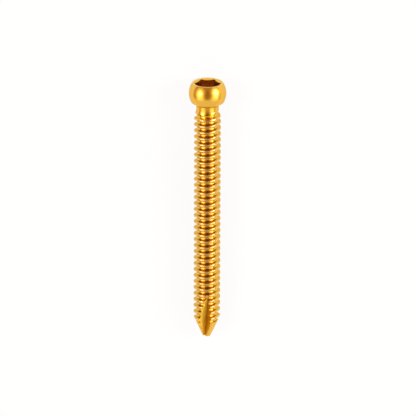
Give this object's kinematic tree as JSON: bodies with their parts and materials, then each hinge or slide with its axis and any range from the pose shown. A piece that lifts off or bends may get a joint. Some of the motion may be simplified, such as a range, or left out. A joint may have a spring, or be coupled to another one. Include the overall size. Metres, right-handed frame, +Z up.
{
  "type": "bone screw",
  "caption": "Gold anodised self-tapping bone screw with a ball head, hexagon socket and long right-hand thread.",
  "frame": {"origin": "on the floor under the middle of the lying screw's bounding box", "axes": "+Y along the screw towards its head, +Z up from the floor, +X to the right of someone who looks down on the screw with its head away from them"},
  "size_m": [0.0048, 0.0352, 0.0049],
  "materials": {
    "anodised_titanium": "polished, anodised gold"
  },
  "bodies": {
    "root": {"bone_screw": "anodised_titanium"}
  },
  "joints": []
}
